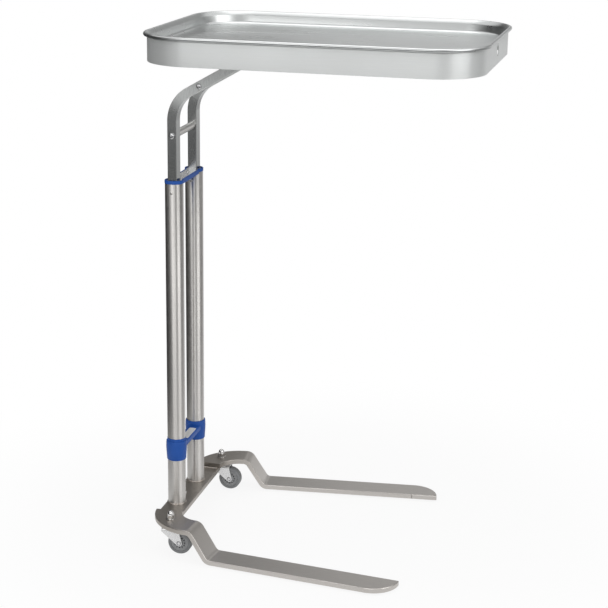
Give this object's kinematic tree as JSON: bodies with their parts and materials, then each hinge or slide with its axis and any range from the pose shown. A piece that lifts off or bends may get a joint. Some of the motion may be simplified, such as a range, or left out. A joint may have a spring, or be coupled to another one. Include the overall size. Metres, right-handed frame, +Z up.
{
  "type": "mayo instrument stand",
  "caption": "Instrument stand with a low splayed base on casters, paired posts with sliding lift bars and a foot release, and a rounded tray that lifts out of its band.",
  "frame": {"origin": "on the floor under the middle of the tray", "axes": "+Z up, +X from the posts towards the ends of the legs, +Y to the far side"},
  "size_m": [0.564, 0.461, 0.904],
  "materials": {
    "base_steel": "satin",
    "post_steel": "satin",
    "tray_steel": "satin",
    "fastener_chrome": "polished",
    "zinc_steel": "zinc plated",
    "blue_plastic": "moulded",
    "white_plastic": "moulded",
    "wheel_grey": "moulded",
    "hub_grey": "moulded",
    "shoe_bronze": "machined",
    "spring_steel": "drawn wire"
  },
  "bodies": {
    "root": {"base_crossbar": "base_steel", "centre_stud": "fastener_chrome", "weld_beads": "base_steel", "guide_rivets": "fastener_chrome", "post_collar": "blue_plastic", "collar_plate": "tray_steel", "collar_screws": "fastener_chrome", "stem_washers": "fastener_chrome", "stem_cap_nuts": "fastener_chrome", "near_leg": "base_steel", "far_leg": "base_steel", "near_leg_glides": "white_plastic", "far_leg_glides": "white_plastic", "near_post": "post_steel", "far_post": "post_steel", "near_bar_guide": "white_plastic", "far_bar_guide": "white_plastic", "near_spring_seat": "zinc_steel", "far_spring_seat": "zinc_steel", "near_caster_stem": "zinc_steel", "far_caster_stem": "zinc_steel"},
    "lift": {"near_mast_bar": "post_steel", "far_mast_bar": "post_steel", "near_bar_slider": "white_plastic", "far_bar_slider": "white_plastic", "lower_spacer_rod": "post_steel", "middle_spacer_rod": "post_steel", "upper_spacer_rod": "post_steel", "spacer_screws": "fastener_chrome", "rear_strap": "tray_steel", "middle_strap": "tray_steel", "front_strap": "tray_steel", "strap_screws": "fastener_chrome", "tray_band": "tray_steel"},
    "tray": {"instrument_tray": "tray_steel"},
    "release": {"foot_yoke": "blue_plastic", "yoke_plate": "white_plastic", "yoke_studs": "fastener_chrome", "near_pull_rod": "zinc_steel", "far_pull_rod": "zinc_steel", "near_brake_shoe": "shoe_bronze", "far_brake_shoe": "shoe_bronze", "near_return_spring": "spring_steel", "far_return_spring": "spring_steel"},
    "near_swivel": {"near_caster_fork": "zinc_steel", "near_swivel_balls": "fastener_chrome", "near_caster_axle": "zinc_steel"},
    "far_swivel": {"far_caster_fork": "zinc_steel", "far_swivel_balls": "fastener_chrome", "far_caster_axle": "zinc_steel"},
    "near_wheel": {"near_caster_tyre": "wheel_grey", "near_caster_hub": "hub_grey"},
    "far_wheel": {"far_caster_tyre": "wheel_grey", "far_caster_hub": "hub_grey"}
  },
  "joints": [
    {"name": "height", "type": "slide", "parent": "root", "child": "lift", "axis": [0, 0, 1], "range_m": [-0.065, 0.365]},
    {"name": "tray_lift_out", "type": "slide", "parent": "lift", "child": "tray", "axis": [0, 0, 1], "range_m": [0, 0.08]},
    {"name": "release_press", "type": "slide", "parent": "root", "child": "release", "axis": [0, 0, -1], "range_m": [0, 0.012], "stiffness_N_per_m": 2500, "springref_m": -0.012, "deforming": ["near_return_spring", "far_return_spring"]},
    {"name": "near_caster_swivel", "type": "hinge", "parent": "root", "child": "near_swivel", "pos_m": [-0.2384, -0.1526, 0.0465], "axis": [0, 0, 1], "continuous": true},
    {"name": "near_wheel_spin", "type": "hinge", "parent": "near_swivel", "child": "near_wheel", "pos_m": [-0.2204, -0.1526, 0.021], "axis": [0, 1, 0], "continuous": true},
    {"name": "far_caster_swivel", "type": "hinge", "parent": "root", "child": "far_swivel", "pos_m": [-0.2384, 0.1526, 0.0465], "axis": [0, 0, 1], "continuous": true},
    {"name": "far_wheel_spin", "type": "hinge", "parent": "far_swivel", "child": "far_wheel", "pos_m": [-0.2204, 0.1526, 0.021], "axis": [0, 1, 0], "continuous": true}
  ]
}
